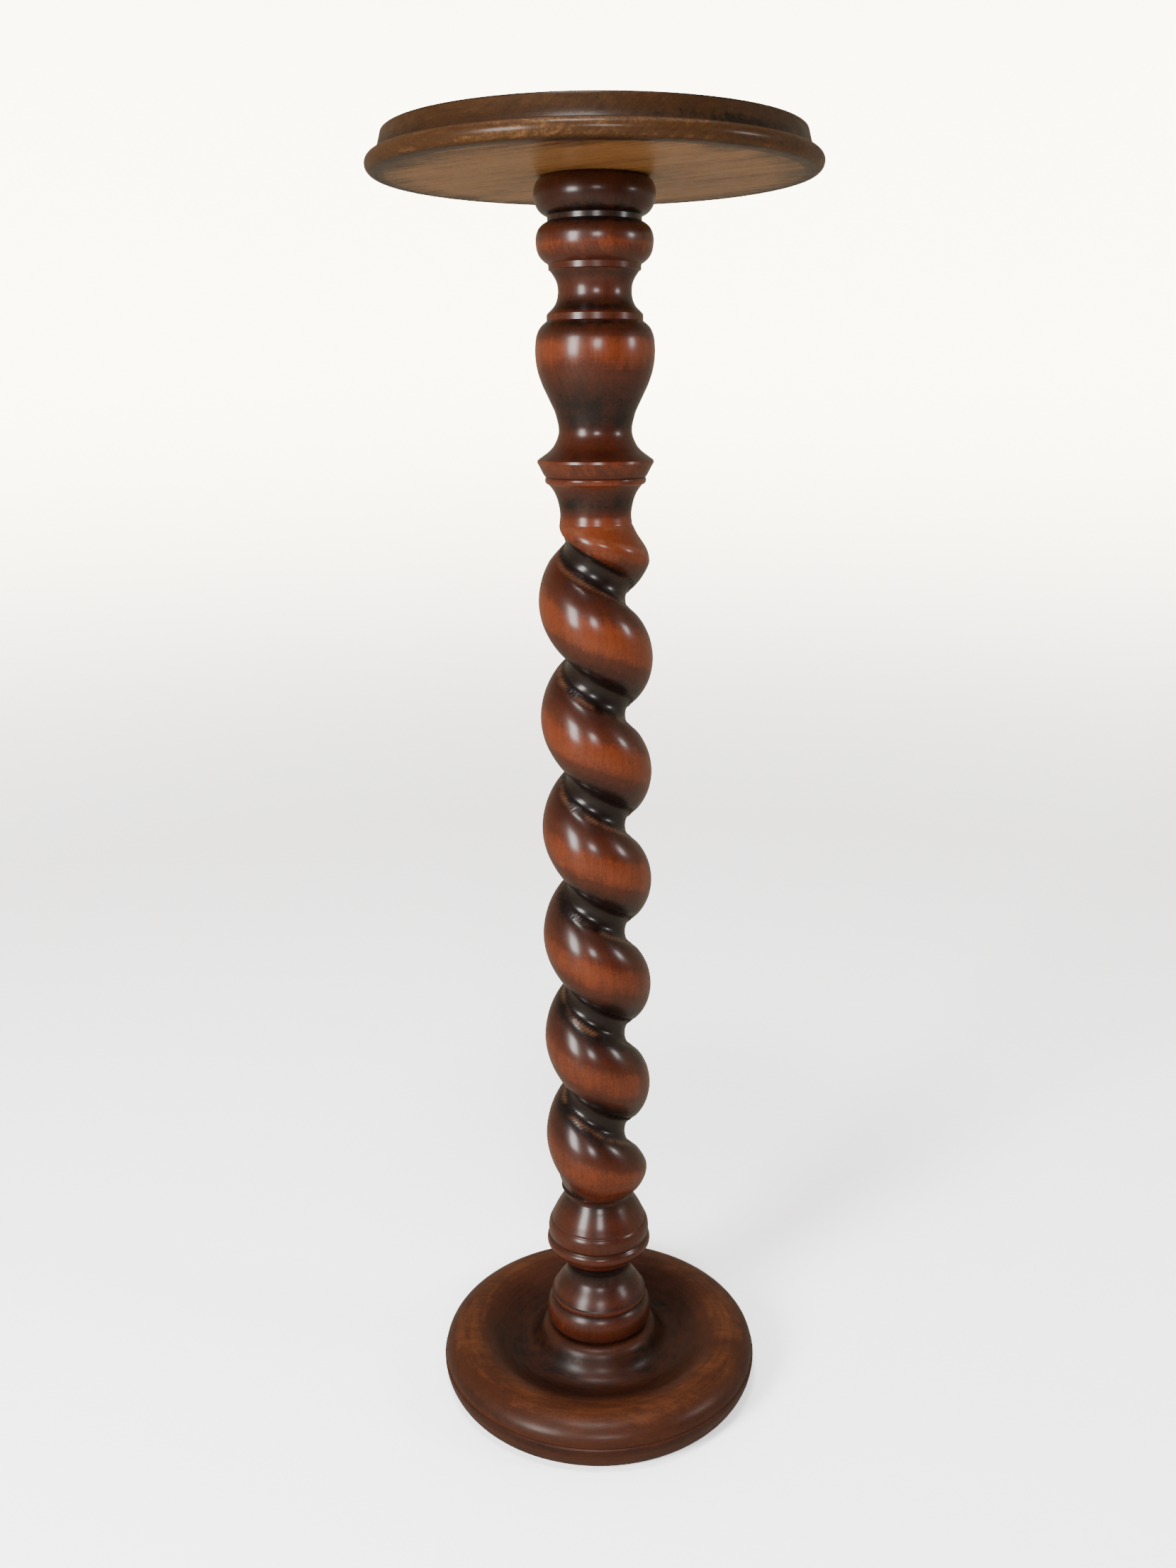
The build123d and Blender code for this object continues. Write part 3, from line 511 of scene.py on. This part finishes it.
def sweep():
    R, F, H, N = 2.6, 0.9, 3.6, 96
    prof = [(0.0, 0.0), (0.35, 0.0), (0.8, 0.0), (1.3, 0.0), (R - F, 0.0)]
    prof += [(R - F + F * math.sin(a), F - F * math.cos(a)) for a in [math.pi / 2 * k / 14 for k in range(1, 15)]]
    prof += [(R, F + (H - F) * k / 5) for k in range(1, 6)]
    verts, faces = [(0, 0, -0.0003)], []
    for r, z in prof[1:]:
        for i in range(N):
            a = 2 * math.pi * i / N
            verts.append((r * math.cos(a), r * math.sin(a), z - 0.0003))
    for i in range(N):
        faces.append((0, 1 + i, 1 + (i + 1) % N))
    for k in range(len(prof) - 2):
        for i in range(N):
            a, b = 1 + k * N + i, 1 + k * N + (i + 1) % N
            faces.append((a, a + N, b + N, b))
    me = bpy.data.meshes.new("stage_sweep")
    me.from_pydata(verts, [], faces)
    me.shade_smooth()
    ob = bpy.data.objects.new("stage_sweep", me)
    scene.collection.objects.link(ob)
    t = Tree("stage_pale")
    P = t.new("ShaderNodeTexCoord").outputs["Object"]
    x, y, z = t.xyz(P)
    tint = t.noise(P, 1.4, 3.0, 0.5, seed=1.0)
    lit = t.mix(tint, (0.80, 0.755, 0.67), (0.86, 0.82, 0.74))
    # painted shade: for light bounced and reflected onto the piece the stage is dark in front of it, and darker again
    # in glossy reflections
    front = t.mul(t.remap(y, -0.2, -1.4), t.remap(z, -0.05, 0.5))
    lit = t.mix(front, lit, (0.20, 0.19, 0.18))
    glossy = t.new("ShaderNodeLightPath").outputs["Is Glossy Ray"]
    lit = t.mix(glossy, lit, t.mix(1.0, lit, (0.58, 0.56, 0.53), "MULTIPLY"))
    # painted light: the camera sees the stage with a colour far above white, brighter up the wall than on the floor
    seen = t.mix(t.remap(z, 0.0, 0.9), (FLOOR_SEEN, FLOOR_SEEN * 1.02, FLOOR_SEEN * 1.10), (FLOOR_SEEN * 3.4, FLOOR_SEEN * 3.20, FLOOR_SEEN * 2.75))
    room = t.new("ShaderNodeBsdfDiffuse")
    t.put(room.inputs["Color"], lit)
    pale = t.new("ShaderNodeBsdfDiffuse")
    t.put(pale.inputs["Color"], seen)
    ray = t.new("ShaderNodeLightPath").outputs["Is Camera Ray"]
    mix = t.new("ShaderNodeMixShader")
    t.put(mix.inputs[0], ray)
    t.put(mix.inputs[1], room.outputs[0])
    t.put(mix.inputs[2], pale.outputs[0])
    back = t.new("ShaderNodeNewGeometry").outputs["Backfacing"]
    clear = t.new("ShaderNodeBsdfTransparent")
    last = t.new("ShaderNodeMixShader")
    t.put(last.inputs[0], back)
    t.put(last.inputs[1], mix.outputs[0])
    t.put(last.inputs[2], clear.outputs[0])
    t.nt.links.new(last.outputs[0], t.out.inputs[0])
    me.materials.append(t.mat)
    return ob


sweep()

# ---------------------------------------------------------------- light
def area(name, azimuth, elevation, distance, size, power, colour, target=(0, 0, 0.55), spread=180.0):
    """azimuth from the front (-Y), positive to the right."""
    data = bpy.data.lights.new(name, "AREA")
    data.shape = "RECTANGLE"
    data.size, data.size_y = size
    data.energy = power
    data.color = colour
    data.spread = math.radians(spread)
    ob = bpy.data.objects.new(name, data)
    a, e = math.radians(azimuth), math.radians(elevation)
    d = Vector((math.sin(a) * math.cos(e), -math.cos(a) * math.cos(e), math.sin(e)))
    t = Vector(target)
    ob.location = t + d * distance
    ob.rotation_mode = "QUATERNION"
    ob.rotation_quaternion = d.to_track_quat("Z", "Y")
    ob.visible_camera = False
    scene.collection.objects.link(ob)
    return ob


area("window", -42.0, 14.0, 2.2, (0.60, 0.95), 42.0, (1.0, 0.975, 0.94), (0, 0, 0.62))
area("lamp_front", 4.0, 13.0, 2.3, (0.46, 0.36), 13.0, (1.0, 0.98, 0.97), (0, 0, 0.75))
area("lamp_right", 74.0, 13.0, 2.2, (0.34, 0.34), 7.5, (0.97, 0.98, 1.0), (0, 0, 0.75))
area("ceiling", 0.0, 88.0, 2.6, (2.2, 2.2), 6.0, (1.0, 0.985, 0.96), (0, 0.3, 0.4))
area("ceiling_lamp", -16.0, 72.0, 2.4, (0.50, 0.40), 14.0, (1.0, 0.98, 0.95), (0, 0, 0.3))
area("wall_wash", 180.0, 55.0, 1.6, (2.4, 0.5), 30.0, (1.0, 0.95, 0.88), (0, 2.2, 1.2))

world = bpy.data.worlds.new("pale")
scene.world = world
world.use_nodes = True
bg = world.node_tree.nodes["Background"]
bg.inputs[0].default_value = (0.95, 0.94, 0.91, 1)
bg.inputs[1].default_value = 0.12

# ---------------------------------------------------------------- camera at the photograph's viewpoint
cam = bpy.data.cameras.new("camera")
cam.sensor_fit = "AUTO"
cam.sensor_width = 36.0
cam.lens = 36.0 * 1980.0 / 2212.0
cam.clip_start, cam.clip_end = 0.01, 50.0
camera = bpy.data.objects.new("camera", cam)
scene.collection.objects.link(camera)
camera.matrix_world = (Matrix.Translation((-0.0069, -1.0611, 0.8234))
                       @ Matrix.Rotation(math.radians(74.62), 4, "X")
                       @ Matrix.Rotation(math.radians(-0.327), 4, "Z"))
scene.camera = camera

# ---------------------------------------------------------------- update the scene
bpy.context.view_layer.update()
